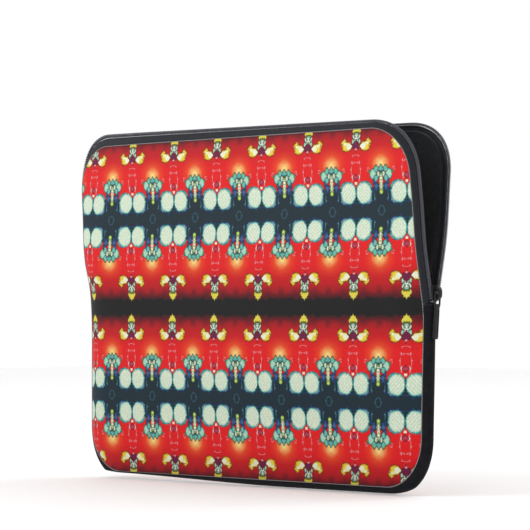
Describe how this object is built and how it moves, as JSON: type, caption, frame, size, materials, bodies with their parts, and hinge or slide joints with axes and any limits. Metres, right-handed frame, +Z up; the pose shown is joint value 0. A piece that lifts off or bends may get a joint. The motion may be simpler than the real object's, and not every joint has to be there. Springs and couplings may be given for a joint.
{
  "type": "laptop sleeve",
  "caption": "Padded zipped laptop sleeve with patterned faces, a dark edge band and a side slider, standing with its mouth open.",
  "frame": {"origin": "bottom centre of the object's box, on the surface that the closed long edge stands on", "axes": "+X along the long edge towards the slider, +Z up from the closed edge to the mouth, the front printed face towards -Y"},
  "size_m": [0.3998, 0.0628, 0.2929],
  "materials": {
    "print_knit": "knit face with an all-over printed pattern",
    "foam": "closed-cell foam",
    "lining_knit": "fine knit",
    "edge_band": "soft matt knit",
    "seam_edge": "raw cut edge",
    "zip_tape": "woven tape",
    "zip_coil": "nylon coil",
    "slider_metal": "black baked enamel"
  },
  "bodies": {
    "shell": {"front_face_lower": "print_knit", "front_foam_lower": "foam", "front_lining_lower": "lining_knit", "back_face_lower": "print_knit", "back_foam_lower": "foam", "back_lining_lower": "lining_knit", "gusset_band": "edge_band", "gusset_lining": "lining_knit", "front_seam_edge_lower": "seam_edge", "back_seam_edge_lower": "seam_edge", "zip_end_tab_right": "edge_band", "zip_end_tab_left": "edge_band", "zip_bottom_stop": "zip_coil"},
    "front_flap": {"front_face_upper": "print_knit", "front_foam_upper": "foam", "front_lining_upper": "lining_knit", "front_seam_edge_upper": "seam_edge", "front_zip_tape": "zip_tape", "front_zip_coil": "zip_coil", "front_top_stop": "zip_coil"},
    "back_flap": {"back_face_upper": "print_knit", "back_foam_upper": "foam", "back_lining_upper": "lining_knit", "back_seam_edge_upper": "seam_edge", "back_zip_tape": "zip_tape", "back_zip_coil": "zip_coil", "back_top_stop": "zip_coil"},
    "slider": {"slider_body": "slider_metal", "slider_cap": "slider_metal", "slider_lock_pin": "slider_metal"},
    "pull": {"pull_tab": "slider_metal"}
  },
  "joints": [
    {"name": "front_flap_fold", "type": "hinge", "parent": "shell", "child": "front_flap", "pos_m": [-0.00295, -0.0088, 0.1525], "axis": [0.9978, 0, -0.066], "range_deg": [-7.9, 0]},
    {"name": "back_flap_fold", "type": "hinge", "parent": "shell", "child": "back_flap", "pos_m": [-0.00295, 0.0088, 0.1525], "axis": [-0.9978, 0, 0.066], "range_deg": [-7.9, 0]},
    {"name": "slider_run", "type": "slide", "parent": "shell", "child": "slider", "axis": [0, 0, 1], "range_m": [0, 0.0835]},
    {"name": "pull_swing", "type": "hinge", "parent": "slider", "child": "pull", "pos_m": [0.19725, 0, 0.156], "axis": [0, -1, 0], "range_deg": [0, 165]}
  ],
  "couplings": [
    {"joint": "back_flap_fold", "follows": "front_flap_fold", "ratio": 1},
    {"joint": "slider_run", "follows": "front_flap_fold", "m_per_rad": -0.6055}
  ]
}
